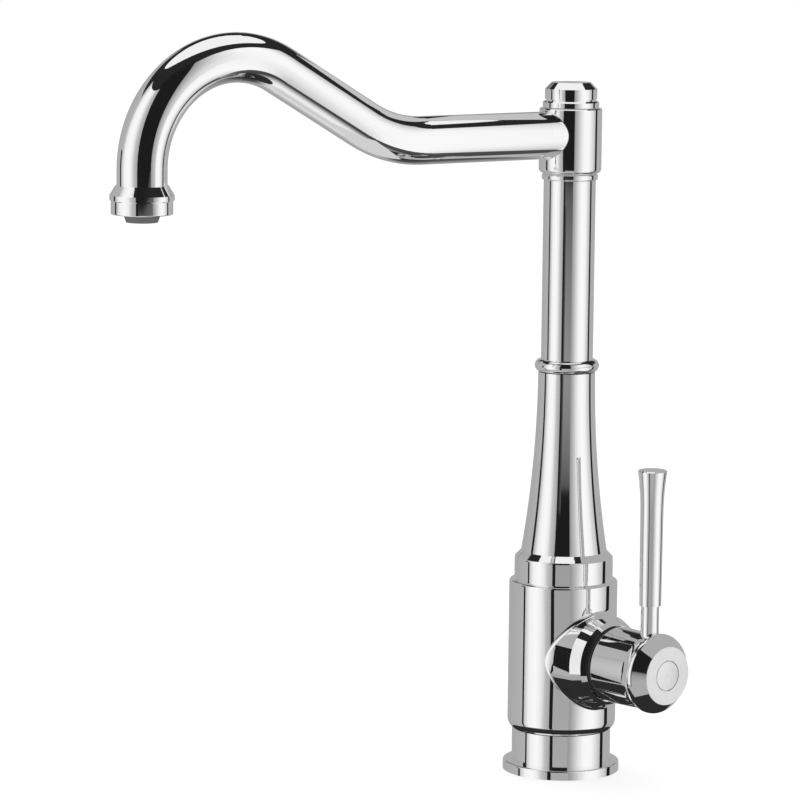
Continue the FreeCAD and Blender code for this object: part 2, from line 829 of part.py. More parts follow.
def make_spout_tube():
    """Bent tube: a ring swept along level run, bend, rising run, crook and drop."""
    body = doc.addObject("PartDesign::Body", "spout_tube")
    path = draw(new_sketch(body, "spout_path", "XZ_Plane"), [
        (s.stub_x, z_spout),
        (s.spout_run, z_spout, (LEFT, s.bend_r)),
        (bend_x, bend_z),
        (crook_x, crook_z, (RIGHT, s.crook_r)),
        (crook_x + s.crook_r * rise_sin, drop_z + s.crook_r, (RIGHT, s.crook_r)),
        (reach, drop_z),
        (reach, z_outlet),
    ], closed=False)
    section = new_sketch(body, "spout_section", "YZ_Plane")
    bind(section, "AttachmentOffset.Base.z", s.stub_x)
    draw_circle(section, s.tube_r, z_spout)
    draw_circle(section, tube_bore_r, z_spout)
    pipe = body.newObject("PartDesign::AdditivePipe", "spout_sweep")
    pipe.Profile = section
    pipe.Spine = (path, [f"Edge{number + 1}" for number in range(path.GeometryCount)])
    node(on_spout(body), "spout_tube")


def make_outlet():
    """Flared collar on the tube's end, and the screwed aerator with its seal and screen."""
    thread_bore = s.shell_thread_r + s.fit_gap
    z_rim = z_flare - s.flare_rim_h
    sleeve_r = tube_bore_r - s.fit_gap
    sleeve_bore = sleeve_r - s.sleeve_wall
    node(at_outlet(turned("outlet_collar", [
        (thread_bore, z_rim),
        (s.flare_r, z_rim),
        (s.flare_r, z_flare),
        (s.tube_r + s.flare_ledge, z_outlet),
        (sleeve_r, z_outlet),
        (sleeve_r, z_outlet + s.sleeve_up),
        (sleeve_bore, z_outlet + s.sleeve_up),
        (sleeve_bore, z_aerator_seat),
        (thread_bore, z_aerator_seat),
    ])), "outlet_collar")
    insert_bore = insert_r + s.fit_gap
    lip_r = s.nose_r + s.fit_gap
    z_lip = z_shell_foot + s.shell_lip
    node(at_outlet(turned("aerator_shell", [
        (lip_r, z_shell_foot),
        (s.shell_r - s.shell_edge, z_shell_foot, (LEFT, s.shell_edge)),
        (s.shell_r, z_shell_foot + s.shell_edge),
        (s.shell_r, z_shell),
        (s.shell_thread_r, z_shell),
        (s.shell_thread_r, z_aerator_seal),
        (insert_bore, z_aerator_seal),
        (insert_bore, z_lip),
        (lip_r, z_lip),
    ])), "aerator_shell")
    seal = tube_ring("aerator_seal", sleeve_bore, s.shell_thread_r, z_aerator_seal, z_aerator_seat)
    node(at_outlet(seal), "aerator_seal")
    z_tip = z_shell_foot - s.nose_out
    insert = turned("aerator_moulding", [
        (0, z_tip),
        (s.nose_tip_r, z_tip),
        (s.nose_r, z_shell_foot),
        (s.nose_r, z_lip),
        (insert_r, z_lip),
        (insert_r, z_screen),
        (0, z_screen),
    ])
    jets = []
    for ring in range(3):
        for step in range(max(6 * ring, 1)):
            angle = 2 * math.pi * step / max(6 * ring, 1)
            across = s.jet_pitch * round(ring * math.cos(angle), 6)
            along = s.jet_pitch * round(ring * math.sin(angle), 6)
            jets.append(rod(f"jet_{ring}_{step}", s.jet_r, z_screen - z_tip, across, along, z_tip))
    node(at_outlet(cut("aerator_insert", insert, jets)), "aerator_insert")
    node(at_outlet(rod("aerator_screen", insert_r, s.screen_t), z_screen), "aerator_screen")


def port_rods(prefix, low, length, wider=0):
    """Cylinders through the three ports of the cartridge, drawn along its axis."""
    return [
        rod(f"{prefix}_{hand}", radius + wider, length, -up, sideways, low)
        for hand, (sideways, up, radius) in PORTS.items()
    ]


def make_cartridge_case():
    """Moulded base and housing, the seals under the base, and the nut that holds them in."""
    disc = rod("cart_base_disc", s.cart_r, s.cart_base_t, 0, 0, x_seat)
    pegs = [
        rod(f"cart_peg_{hand}", s.peg_r, s.peg_out + s.cart_base_t / 2, 0, side * s.peg_y, x_seat - s.peg_out)
        for side, hand in ((1, "hot"), (-1, "cold"))
    ]
    solid = together("cart_base_solid", [disc] + pegs)
    seats = port_rods("seal_seat", x_seat, s.port_seal_t, s.port_seal_w)
    bores = port_rods("base_port", x_seat, s.cart_base_t)
    node(on_lever_axis(cut("cartridge_base", solid, seats + bores)), "cartridge_base")
    seals = []
    for hand, (sideways, up, radius) in PORTS.items():
        outer_r = radius + s.port_seal_w - s.fit_gap
        outer = rod(f"seal_{hand}_outer", outer_r, s.port_seal_t, -up, sideways, x_seat)
        inner = rod(f"seal_{hand}_inner", radius, s.port_seal_t, -up, sideways, x_seat)
        seals.append(cut(f"seal_{hand}", outer, [inner]))
    node(on_lever_axis(together("seals", seals, "Part::Compound")), "port_seals")
    turret_bore = s.turret_r + s.turn_gap
    x_step = x_turret - s.turn_gap
    node(on_lever_axis(turned("cartridge_housing", [
        (s.cart_bore_r, x_fixed),
        (s.cart_r, x_fixed),
        (s.cart_r, x_nut),
        (turret_bore, x_nut),
        (turret_bore, x_step),
        (s.cart_bore_r, x_step),
    ])), "cartridge_housing")
    nut_r = s.boss_bore_r - s.fit_gap
    nut = tube_ring("cartridge_nut", s.nut_bore_r, nut_r, x_nut, x_nut + s.nut_t)
    node(on_lever_axis(nut), "cartridge_nut")


def make_discs():
    """Fixed and moving ceramic discs, and the carrier that slides the moving one."""
    fixed = rod("fixed_blank", s.cart_bore_r - s.fit_gap, s.disc_t, 0, 0, x_fixed)
    node(on_lever_axis(cut("fixed_disc", fixed, port_rods("disc_port", x_fixed, s.disc_t))), "fixed_disc")
    moving = rod("moving_blank", s.moving_r, s.disc_t, s.moving_drop, 0, x_moving)
    mixing = rod("mixing_recess", s.mix_r, s.mix_depth, s.mix_drop, 0, x_moving)
    node(on_lever_axis(cut("moving_disc", moving, [mixing])), "moving_disc")
    length = s.moving_r * 2
    carrier = doc.addObject("Part::Common", "carrier_blank")
    carrier.Base = rod("carrier_round", s.moving_r - s.turn_gap, s.carrier_t, s.moving_drop, 0, x_carrier)
    carrier.Tool = block("carrier_flats", length, s.carrier_flat * 2, s.carrier_t,
                         s.moving_drop - s.moving_r, -s.carrier_flat, x_carrier)
    socket_floor = x_pivot - s.ball_arm - s.ball_r - s.turn_gap
    socket = rod("ball_socket", s.ball_r + s.turn_gap, x_turret - socket_floor, 0, 0, socket_floor)
    node(on_lever_axis(cut("disc_carrier", carrier, [socket])), "disc_carrier")


def make_turret():
    """Turning guide of the spindle with its drive lugs, the cross pin and the domed cover."""
    guide = turned("turret_turning", [
        (0, x_turret),
        (s.turret_r, x_turret),
        (s.turret_r, x_nut - s.turn_gap),
        (s.turret_neck_r, x_nut - s.turn_gap),
        (s.turret_neck_r, x_flange),
        (s.turret_flange_r, x_flange),
        (s.turret_flange_r, x_flange + s.turret_flange_t),
        (0, x_flange + s.turret_flange_t),
    ])
    lug_y = s.carrier_flat + s.turn_gap
    lug_len = s.lug_out + s.turret_len / 2
    lugs = [
        block(f"lug_{name}", s.lug_half * 2, s.lug_w, lug_len, -s.lug_half, y, x_turret - s.lug_out)
        for name, y in (("hot", lug_y), ("cold", -lug_y - s.lug_w))
    ]
    half = s.spindle_w / 2 + s.turn_gap
    slot_len = x_flange + s.turret_flange_t - x_turret
    tools = [
        block("spindle_slot", s.slot_up + s.slot_down, half * 2, slot_len, -s.slot_up, -half, x_turret),
        rod("pin_hole", s.pin_r + s.fit_gap, s.turret_r * 2, 0, -s.turret_r, x_pivot, Z_TO_Y),
    ]
    turret = cut("cartridge_turret", together("turret_solid", [guide] + lugs), tools)
    node(on_lever_axis(turret), "cartridge_turret")
    node(rod("pivot_pin", s.pin_r, s.pin_half * 2, x_pivot, -s.pin_half, z_lever, Z_TO_Y), "pivot_pin")
    inner_r = s.turret_flange_r + s.fit_gap
    inner_dome = s.dome_r - s.dome_t
    x_dome = x_pivot + root(s.dome_r * s.dome_r - skirt_r * skirt_r)
    x_dome_in = x_pivot + root(inner_dome * inner_dome - inner_r * inner_r)
    shell = turned("dome_turning", [
        (inner_r, x_flange),
        (skirt_r, x_flange),
        (skirt_r, x_dome, (LEFT, s.dome_r)),
        (0, x_pivot + s.dome_r),
        (0, x_pivot + inner_dome, (RIGHT, inner_dome)),
        (inner_r, x_dome_in),
    ])
    slot_half = half + s.turn_gap
    slot = block("dome_slot", s.dome_slot_up + s.dome_slot_down, slot_half * 2, s.dome_r,
                 -s.dome_slot_up, -slot_half, x_flange + s.turret_flange_t)
    node(on_lever_axis(cut("dome_shield", shell, [slot])), "dome_shield")


def make_bonnet():
    """Coned ring screwed into the boss round the dome."""
    inner = skirt_r + s.turn_gap
    x_spigot = x_nut + s.nut_t + s.fit_gap
    spigot_r = s.boss_bore_r - s.fit_gap
    node(on_lever_axis(turned("bonnet_ring", [
        (inner, x_spigot),
        (spigot_r, x_spigot),
        (spigot_r, boss_x),
        (s.boss_r, boss_x),
        (s.bonnet_rim_r, boss_x + s.bonnet_rim_x),
        (s.bonnet_lip_r, boss_x + s.bonnet_lip_x),
        (inner, boss_x + s.bonnet_lip_x),
    ])), "bonnet_ring")


def make_spindle():
    """Rocking bar: ball end, neck, square bar with its pin hole and screw hole."""
    x_ball = x_pivot - s.ball_arm
    x_bar = x_pivot - s.spindle_back
    ball = doc.addObject("Part::Sphere", "spindle_ball")
    bind(ball, "Radius", s.ball_r)
    place(ball, z=x_ball)
    neck = rod("spindle_neck", s.spindle_neck_r, s.ball_arm, 0, 0, x_ball)
    bar = block("spindle_bar", s.spindle_t, s.spindle_w, s.spindle_back + s.spindle_front,
                -s.spindle_t / 2, -s.spindle_w / 2, x_bar)
    solid = together("spindle_solid", [ball, neck, bar])
    tools = [
        rod("spindle_pin_hole", s.pin_r + s.fit_gap, s.spindle_w, 0, -s.spindle_w / 2, x_pivot, Z_TO_Y),
        rod("spindle_screw_hole", s.screw_r + s.fit_gap, s.screw_len, 0, 0, x_spindle - s.screw_len),
    ]
    node(on_lever_axis(cut("spindle", solid, tools)), "spindle")


def make_hub():
    """Hub with its bevelled front, the screw that holds it to the spindle and the button over the screw."""
    cavity_r = s.hub_r - s.hub_wall
    x_flare = x_hub + s.hub_flare_x
    x_rim = x_flare + s.hub_flare_len
    flare_r = blend_radius(s.hub_flare_len, s.hub_rim_r - s.hub_waist_r)
    x_round = x_rim + s.hub_rim_w
    round_r = blend_radius(s.hub_round_x, s.hub_round_in)
    button_bore = s.button_r + s.button_gap
    head_bore = s.screw_head_r + s.screw_play
    screw_bore = s.screw_r + s.screw_play
    turning = turned("hub_turning", [
        (cavity_r, x_hub),
        (s.hub_r - s.hub_edge, x_hub, (LEFT, s.hub_edge)),
        (s.hub_r, x_hub + s.hub_edge),
        (s.hub_waist_r, x_flare, (RIGHT, flare_r)),
        (s.hub_rim_r, x_rim),
        (s.hub_rim_r, x_round, (LEFT, round_r)),
        (s.hub_rim_r - s.hub_round_in, x_round + s.hub_round_x),
        (s.face_r, x_face),
        (button_bore, x_face),
        (button_bore, x_button),
        (head_bore, x_button),
        (head_bore, x_screw),
        (screw_bore, x_screw),
        (screw_bore, x_web),
        (cavity_r, x_web),
    ])
    socket_w = s.spindle_w + s.fit_gap * 2
    socket_t = s.spindle_t + s.fit_gap * 2
    seat = s.hub_r - s.stem_seat
    socket_depth = x_spindle - x_web + s.fit_gap
    tang_floor = seat - s.stem_tang - s.fit_gap
    stem_hole_r = s.stem_tang_r + s.fit_gap
    upwards = Z_TO_X.inverted()
    tools = [
        block("spindle_socket", socket_t, socket_w, socket_depth, -socket_t / 2, -socket_w / 2, x_web),
        rod("stem_seat", s.stem_r + s.fit_gap, s.stem_seat * 2, -seat, 0, x_lever, upwards),
        rod("stem_hole", stem_hole_r, s.stem_tang + s.stem_seat, -tang_floor, 0, x_lever, upwards),
    ]
    node(on_lever_axis(cut("lever_hub", turning, tools)), "lever_hub")
    screw = turned("screw_turning", [
        (0, x_screw - s.screw_web - s.screw_len + s.turn_gap),
        (s.screw_r, x_screw - s.screw_web - s.screw_len + s.turn_gap),
        (s.screw_r, x_screw),
        (s.screw_head_r, x_screw),
        (s.screw_head_r, x_screw + s.screw_head_t),
        (0, x_screw + s.screw_head_t),
    ])
    key = doc.addObject("Part::Prism", "screw_key")
    bind(key, "Circumradius", s.screw_key_r)
    bind(key, "Height", s.screw_head_t)
    place(key, z=x_screw + s.screw_head_t / 2)
    node(on_lever_axis(cut("handle_screw", screw, [key])), "handle_screw")
    rim = s.button_r - s.button_gap
    x_edge = x_face - s.button_gap
    dome_r = blend_radius(rim, s.button_dome)
    node(on_lever_axis(turned("index_button", [
        (0, x_button),
        (s.button_r, x_button),
        (s.button_r, x_edge),
        (rim, x_face, (LEFT, dome_r)),
        (0, x_face + s.button_dome),
    ])), "index_button")


def make_lever():
    """Stem screwed into the hub and the flared grip on it."""
    seat = s.hub_r - s.stem_seat
    tang_bore = s.stem_tang_r + s.fit_gap
    z_grip = s.stem_top
    z_tang = z_grip + s.stem_tang
    stem = turned("lever_stem", [
        (0, seat - s.stem_tang),
        (s.stem_tang_r, seat - s.stem_tang),
        (s.stem_tang_r, seat),
        (s.stem_r, seat),
        (s.stem_r, z_grip),
        (s.stem_tang_r, z_grip),
        (s.stem_tang_r, z_tang),
        (0, z_tang),
    ])
    node(place(stem, x=x_lever, z=z_lever), "lever_stem")
    z_top = z_grip + s.grip_len
    flare_r = blend_radius(s.grip_flare, s.grip_top_r - s.grip_waist_r)
    grip = turned("lever_grip", [
        (tang_bore, z_grip),
        (s.grip_foot_r, z_grip),
        (s.grip_waist_r, z_top - s.grip_flare - s.grip_edge, (RIGHT, flare_r)),
        (s.grip_top_r, z_top - s.grip_edge),
        (s.grip_top_r - s.grip_edge, z_top),
        (0, z_top),
        (0, z_tang + s.fit_gap),
        (tang_bore, z_tang + s.fit_gap),
    ])
    node(place(grip, x=x_lever, z=z_lever), "lever_grip")


def check_and_write():
    """Refuses a failed or empty shape, then writes each piece to its own file."""
    doc.recompute()
    for item in doc.Objects:
        if "Invalid" in item.State or "Error" in item.State:
            raise RuntimeError(f"{item.Label}: {item.State}")
    for item in NODES:
        if item.Shape.isNull() or not item.Shape.isValid() or not item.Shape.Solids:
            raise RuntimeError(f"{item.Label}: no valid solid")
    os.makedirs("parts", exist_ok=True)
    for item in NODES:
        item.Shape.exportStep(f"parts/{item.Label}.step")
        print(item.Label, len(item.Shape.Solids), round(item.Shape.Volume, 2))


make_base_flange()
node(cut("mixer_body", body_casting(), body_hollows()), "mixer_body")
make_column()
make_swivel_post()
make_cap()
make_swivel_head()
make_spout_tube()
make_outlet()
make_cartridge_case()
make_discs()
make_turret()
make_bonnet()
make_spindle()
make_hub()
make_lever()
check_and_write()
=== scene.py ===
"""Tall single-lever mixer tap: finishes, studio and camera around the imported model."""
import math

import bmesh
import bpy
from mathutils import Matrix, Vector


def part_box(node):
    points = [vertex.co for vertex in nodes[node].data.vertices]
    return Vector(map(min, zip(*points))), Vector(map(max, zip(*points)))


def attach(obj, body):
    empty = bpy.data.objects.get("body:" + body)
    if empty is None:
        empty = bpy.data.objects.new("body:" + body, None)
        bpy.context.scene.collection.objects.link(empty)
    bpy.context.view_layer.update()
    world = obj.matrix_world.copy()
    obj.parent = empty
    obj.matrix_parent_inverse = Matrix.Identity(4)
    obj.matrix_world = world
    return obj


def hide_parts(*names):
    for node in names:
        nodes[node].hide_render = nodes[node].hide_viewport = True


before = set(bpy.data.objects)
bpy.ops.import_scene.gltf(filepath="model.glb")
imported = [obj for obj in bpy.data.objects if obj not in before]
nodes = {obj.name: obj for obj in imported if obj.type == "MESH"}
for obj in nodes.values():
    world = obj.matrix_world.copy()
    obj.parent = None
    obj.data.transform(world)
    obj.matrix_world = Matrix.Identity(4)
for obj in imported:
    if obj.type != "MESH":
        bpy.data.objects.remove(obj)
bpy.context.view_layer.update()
scene = bpy.context.scene
scene.view_settings.view_transform = "Standard"

# Camera
# A long lens looks down a little on the tap from the user's right,
# so the lever comes forward and the spout runs away to the left.
camera_yaw = math.radians(49.14)
camera_tilt = math.radians(7.917)
camera_roll = math.radians(0.582)
camera_eye = Vector((1.3478, -1.2685, 0.4318))
level_right = Vector((math.cos(camera_yaw), math.sin(camera_yaw), 0))
level_back = Vector((math.sin(camera_yaw), -math.cos(camera_yaw), 0))
ahead = -level_back * math.cos(camera_tilt) - Vector((0, 0, math.sin(camera_tilt)))
upward = level_right.cross(ahead)
camera_x = level_right * math.cos(camera_roll) + upward * math.sin(camera_roll)
camera_y = upward * math.cos(camera_roll) - level_right * math.sin(camera_roll)
lens = bpy.data.cameras.new("long_lens")
lens.sensor_width = 36
lens.lens = 179.9
lens.clip_end = 50
camera = bpy.data.objects.new("camera", lens)
camera.matrix_world = Matrix((camera_x, camera_y, -ahead)).transposed().to_4x4()
camera.matrix_world.translation = camera_eye
scene.collection.objects.link(camera)
scene.camera = camera


# Softboxes and flags
# Two tall curved diffusers stand left and right of the camera, with narrow black flags along
# their edges and a grey card behind the left one. They give the plating bright fields and dark
# lines, and only reflections see them.
def grey(level):
    """A grey colour."""
    return (level, level, level, 1)


def add_node(tree, kind, **inputs):
    """A shader node with some of its inputs set, by name."""
    item = tree.nodes.new(kind)
    for name, value in inputs.items():
        item.inputs[name.replace("_", " ")].default_value = value
    return item


def add_math(tree, operation, *values):
    """A maths node. Each value is a number or an output socket."""
    item = tree.nodes.new("ShaderNodeMath")
    item.operation = operation
    for socket, value in zip(item.inputs, values):
        if isinstance(value, bpy.types.NodeSocket):
            tree.links.new(value, socket)
        else:
            socket.default_value = value
    return item.outputs[0]


def add_ramp(tree, factor, stops):
    """A ramp of grey levels over a factor from 0 to 1."""
    ramp = tree.nodes.new("ShaderNodeValToRGB")
    points = ramp.color_ramp.elements
    while len(points) < len(stops):
        points.new(1)
    for point, (place, level) in zip(points, stops):
        point.position = place
        point.color = grey(level)
    tree.links.new(factor, ramp.inputs["Fac"])
    return ramp.outputs["Color"]


def new_material(name, shader):
    """A material with one shader on its output. The shader's inputs come next."""
    material = bpy.data.materials.new(name)
    material.use_nodes = True
    tree = material.node_tree
    tree.nodes.clear()
    surface = tree.nodes.new(shader)
    output = tree.nodes.new("ShaderNodeOutputMaterial")
    tree.links.new(surface.outputs[0], output.inputs["Surface"])
    return material, tree, surface


def places_on(tree):
    """The places on an object, along X, Y and Z."""
    coord = tree.nodes.new("ShaderNodeTexCoord")
    split = tree.nodes.new("ShaderNodeSeparateXYZ")
    tree.links.new(coord.outputs["Object"], split.inputs[0])
    return split.outputs


def finish_object(name, bm, material):
    """Makes an object at the origin from a bmesh."""
    mesh = bpy.data.meshes.new(name)
    bm.to_mesh(mesh)
    bm.free()
    mesh.materials.append(material)
    made = bpy.data.objects.new(name, mesh)
    scene.collection.objects.link(made)
    return made


def glossy_only(card):
    """A card that only reflections see."""
    card.visible_camera = False
    card.visible_diffuse = False
    card.visible_shadow = False
    card.visible_transmission = False


def standing_arc(name, start, end, distance, foot, top, levels):
    """A curved card round the tap, from one angle off the camera's side to another."""
    first_angle = math.radians(start)
    swept_angle = math.radians(end - start)
    material, tree, glow = new_material(name, "ShaderNodeEmission")
    place = places_on(tree)
    along_right = add_math(tree, "MULTIPLY", place["X"], level_right.x)
    along_right = add_math(tree, "MULTIPLY_ADD", place["Y"], level_right.y, along_right)
    along_back = add_math(tree, "MULTIPLY", place["X"], level_back.x)
    along_back = add_math(tree, "MULTIPLY_ADD", place["Y"], level_back.y, along_back)
    angle = add_math(tree, "ARCTAN2", along_right, along_back)
    share = add_math(tree, "SUBTRACT", angle, first_angle)
    share = add_math(tree, "DIVIDE", share, swept_angle)
    tree.links.new(add_ramp(tree, share, levels), glow.inputs["Color"])
    bm = bmesh.new()
    first = level_back * math.cos(first_angle) + level_right * math.sin(first_angle)
    low = bm.verts.new(first * distance + Vector((0, 0, foot)))
    high = bm.verts.new(first * distance + Vector((0, 0, top)))
    edge = bm.edges.new((low, high))
    bmesh.ops.spin(bm, geom=[low, high, edge], cent=(0, 0, 0), axis=(0, 0, 1), angle=swept_angle, steps=48)
    glossy_only(finish_object(name, bm, material))


LEFT_LEVELS = ((0, 0.4), (0.12, 0.65), (0.25, 0.92), (0.5, 1), (0.68, 0.88), (0.82, 0.55), (1, 0.38))
RIGHT_LEVELS = (
    (0, 0.3), (0.14, 0.51), (0.26, 0.74), (0.4, 0.95),
    (0.53, 1), (0.67, 0.97), (0.8, 0.8), (1, 0.5),
)
WALL_LEVELS = ((0, 0.4), (1, 0.46))
FADE_LEVELS = ((0, 0.035), (1, 0.1))
BLACK = ((0, 0.012), (1, 0.012))
standing_arc("left_softbox", start=-93, end=-28, distance=0.84, foot=-0.36, top=1.13, levels=LEFT_LEVELS)
standing_arc("right_softbox", start=13, end=100, distance=0.45, foot=-0.23, top=0.79, levels=RIGHT_LEVELS)
standing_arc("left_outer_flag", start=-100.5, end=-93, distance=0.83, foot=0, top=0.36, levels=BLACK)
standing_arc("left_near_flag", start=-91, end=-86.3, distance=0.256, foot=-0.1, top=0.11, levels=BLACK)
standing_arc("left_wall_card", start=-150, end=-93, distance=1.07, foot=-0.52, top=1.0, levels=WALL_LEVELS)
standing_arc("left_inner_flag", start=-28, end=-21, distance=0.87, foot=-0.43, top=1.35, levels=BLACK)
standing_arc("left_fade_flag", start=-21, end=-15, distance=0.87, foot=0.08, top=0.19, levels=FADE_LEVELS)
standing_arc("right_outer_flag", start=100, end=111, distance=0.45, foot=-0.25, top=0.49, levels=BLACK)

# Overhead panel
# A white oval panel hangs over the tap. It lights the tap softly from above
# and shows in the plating as the long highlights on top of the spout.
panel_height = 1.0
panel_right = -0.08
panel_half_width = 0.49
panel_back = -0.13
panel_half_depth = 0.365
panel_level = 0.92
material, tree, glow = new_material("overhead_panel", "ShaderNodeEmission")
glow.inputs["Color"].default_value = grey(panel_level)
bm = bmesh.new()
bmesh.ops.create_circle(bm, cap_ends=True, segments=96, radius=1)
for vert in bm.verts:
    across = panel_right + panel_half_width * vert.co.x
    along = panel_back + panel_half_depth * vert.co.y
    vert.co = level_right * across + level_back * along + Vector((0, 0, panel_height))
panel = finish_object("overhead_panel", bm, material)
panel.visible_camera = False


# Level cards
# Three grey cards lie behind the spout, over the lever and under the spout's bend. Each glows
# on one side and is clear from the other, so that it fills one reflection and no more.
def lying_card(name, height, sides, depths, level, shows_top=False):
    """A level card between two places to the right and two towards the camera."""
    material, tree, blend = new_material(name, "ShaderNodeMixShader")
    glow = add_node(tree, "ShaderNodeEmission", Color=grey(level))
    clear = tree.nodes.new("ShaderNodeBsdfTransparent")
    geometry = tree.nodes.new("ShaderNodeNewGeometry")
    tree.links.new(geometry.outputs["Backfacing"], blend.inputs[0])
    tree.links.new(glow.outputs[0], blend.inputs[1])
    tree.links.new(clear.outputs[0], blend.inputs[2])
    left, right = sides
    far, near = depths
    corners = [(left, far), (right, far), (right, near), (left, near)]
    if shows_top:
        corners.reverse()
    lift = Vector((0, 0, height))
    places = [level_right * across + level_back * along + lift for across, along in corners]
    bm = bmesh.new()
    bm.faces.new([bm.verts.new(place) for place in places])
    glossy_only(finish_object(name, bm, material))


lying_card("card_behind_spout", height=0.42, sides=(-0.035, 0.06), depths=(-0.22, -0.025), level=0.56)
lying_card("card_over_lever", height=0.2, sides=(0.05, 0.36), depths=(-0.33, 0.165), level=0.42)
lying_card("card_under_bend", height=0.276, sides=(-0.108, -0.075), depths=(0.054, 0.084), level=0.66,
           shows_top=True)

# Front card
# A wide grey card stands below the camera and darkens towards its top edge,
# so the dark core of the column fades from black to grey.
front_distance = 1.13
front_half_width = 1
front_foot = -0.9
front_top = 0.2
front_levels = (
    (-0.3, 0.42), (-0.06, 0.34), (0.06, 0.26), (0.1, 0.22),
    (0.13, 0.18), (0.16, 0.13), (0.18, 0.09), (0.188, 0.012),
)
material, tree, glow = new_material("front_card", "ShaderNodeEmission")
share = add_math(tree, "SUBTRACT", places_on(tree)["Z"], front_foot)
share = add_math(tree, "DIVIDE", share, front_top - front_foot)
stops = [((up - front_foot) / (front_top - front_foot), level) for up, level in front_levels]
tree.links.new(add_ramp(tree, share, stops), glow.inputs["Color"])
bm = bmesh.new()
front_edge = level_right * front_half_width
low = level_back * front_distance + Vector((0, 0, front_foot))
high = level_back * front_distance + Vector((0, 0, front_top))
corners = [low - front_edge, low + front_edge, high + front_edge, high - front_edge]
bm.faces.new([bm.verts.new(corner) for corner in corners])
glossy_only(finish_object("front_card", bm, material))

# Painted shadow under the base
# A dark disc lies below the floor's level. It is painted shade, standing in for the tap's shadow
# on the floor under it. The undersides of the boss and the hub reflect it, and the sides of the
# base look past it.
shadow_disc_radius = 0.115
shadow_disc_drop = 0.03
shadow_disc_level = 0.025
material, tree, glow = new_material("painted_shadow_disc", "ShaderNodeEmission")
# The disc's dark glow is a painted shadow, seen only in reflections.
glow.inputs["Color"].default_value = grey(shadow_disc_level)
bm = bmesh.new()
bmesh.ops.create_circle(bm, cap_ends=True, segments=96, radius=shadow_disc_radius)
bmesh.ops.translate(bm, verts=bm.verts, vec=(0, 0, -shadow_disc_drop))
glossy_only(finish_object("painted_shadow_disc", bm, material))

# Studio walls
# The room is white to the camera. The plating sees grey walls to the sides, a dark ceiling,
# a pale floor, and a dark space behind the camera.
room_level = 0.65
world = bpy.data.worlds.new("studio")
scene.world = world
world.use_nodes = True
tree = world.node_tree
tree.nodes.clear()
coord = tree.nodes.new("ShaderNodeTexCoord")
split = tree.nodes.new("ShaderNodeSeparateXYZ")
tree.links.new(coord.outputs["Generated"], split.inputs[0])
ray = split.outputs


def level_ramp(tree, height, stops):
    """Grey levels of the room by elevation in degrees, over a height from 0 to 1."""
    places = [(math.sin(math.radians(up)) / 2 + 0.5, level) for up, level in stops]
    return add_ramp(tree, height, places)


def facing(tree, ray, direction, low, high):
    """0 to 1 as a ray turns towards a level direction."""
    share = add_math(tree, "MULTIPLY", ray["X"], direction.x)
    share = add_math(tree, "MULTIPLY_ADD", ray["Y"], direction.y, share)
    step = add_node(tree, "ShaderNodeMapRange", From_Min=low, From_Max=high)
    step.interpolation_type = "SMOOTHSTEP"
    tree.links.new(share, step.inputs["Value"])
    return step.outputs[0]


def mixed(tree, factor, one, other):
    """From one colour to another. Each is a socket, a colour or a grey level."""
    blend = tree.nodes.new("ShaderNodeMix")
    blend.data_type = "RGBA"
    tree.links.new(factor, blend.inputs["Factor"])
    for socket, colour in ((blend.inputs["A"], one), (blend.inputs["B"], other)):
        if isinstance(colour, bpy.types.NodeSocket):
            tree.links.new(colour, socket)
        elif isinstance(colour, tuple):
            socket.default_value = colour + (1,)
        else:
            socket.default_value = grey(colour)
    return blend.outputs["Result"]


height = add_math(tree, "MULTIPLY_ADD", ray["Z"], 0.5, 0.5)
left_wall = level_ramp(tree, height, (
    (-80, 0.6), (-66, 0.76), (-57, 0.62), (-47, 0.43), (-38, 0.37), (-23, 0.4),
    (0, 0.44), (16, 0.42), (25, 0.02),
))
right_wall = level_ramp(tree, height, (
    (-80, 0.9), (-66, 0.4), (-58, 0.05), (-48, 0.08), (-42, 0.21), (-32, 0.32), (-15, 0.42),
    (0, 0.44), (16, 0.42), (25, 0.02),
))
front_space = level_ramp(tree, height, ((-80, 0.9), (-66, 0.42), (-16, 0.42), (-12, 0.012)))
to_the_right = facing(tree, ray, level_right, low=-0.1, high=0.1)
to_the_front = facing(tree, ray, level_back, low=0.4, high=0.6)
walls = mixed(tree, to_the_right, left_wall, right_wall)
seen = mixed(tree, to_the_front, walls, front_space)
rays = tree.nodes.new("ShaderNodeLightPath")
lit = mixed(tree, rays.outputs["Is Glossy Ray"], room_level, seen)
shown = add_math(tree, "MAXIMUM", rays.outputs["Is Camera Ray"], rays.outputs["Is Transmission Ray"])
backdrop = mixed(tree, shown, lit, 1)
surround = add_node(tree, "ShaderNodeBackground", Strength=1)
tree.links.new(backdrop, surround.inputs["Color"])
output = tree.nodes.new("ShaderNodeOutputWorld")
tree.links.new(surround.outputs[0], output.inputs["Surface"])

# Floor
# A pale matt floor that takes a soft shadow. It is plain white to the camera,
# and the plating sees the studio past it.
floor_radius = 6.0
floor_level = 0.8
camera_lift = 0.55
material, tree, lifted = new_material("pale_floor", "ShaderNodeAddShader")
matt = add_node(tree, "ShaderNodeBsdfDiffuse", Color=grey(floor_level))
lift = add_node(tree, "ShaderNodeEmission", Color=grey(1))
rays = tree.nodes.new("ShaderNodeLightPath")
lift_strength = add_math(tree, "MULTIPLY", rays.outputs["Is Camera Ray"], camera_lift)
tree.links.new(lift_strength, lift.inputs["Strength"])
tree.links.new(matt.outputs[0], lifted.inputs[0])
tree.links.new(lift.outputs[0], lifted.inputs[1])
bm = bmesh.new()
bmesh.ops.create_circle(bm, cap_ends=True, segments=96, radius=floor_radius)
floor = finish_object("floor", bm, material)
floor.visible_glossy = False


# Base flange
# A brass ring, turned, polished and chrome plated, that stands on the deck and covers the hole.
# The polish leaves a faint haze, a wiped film and the last turning lines under the plate.
CHROME = (0.95, 0.95, 0.957)


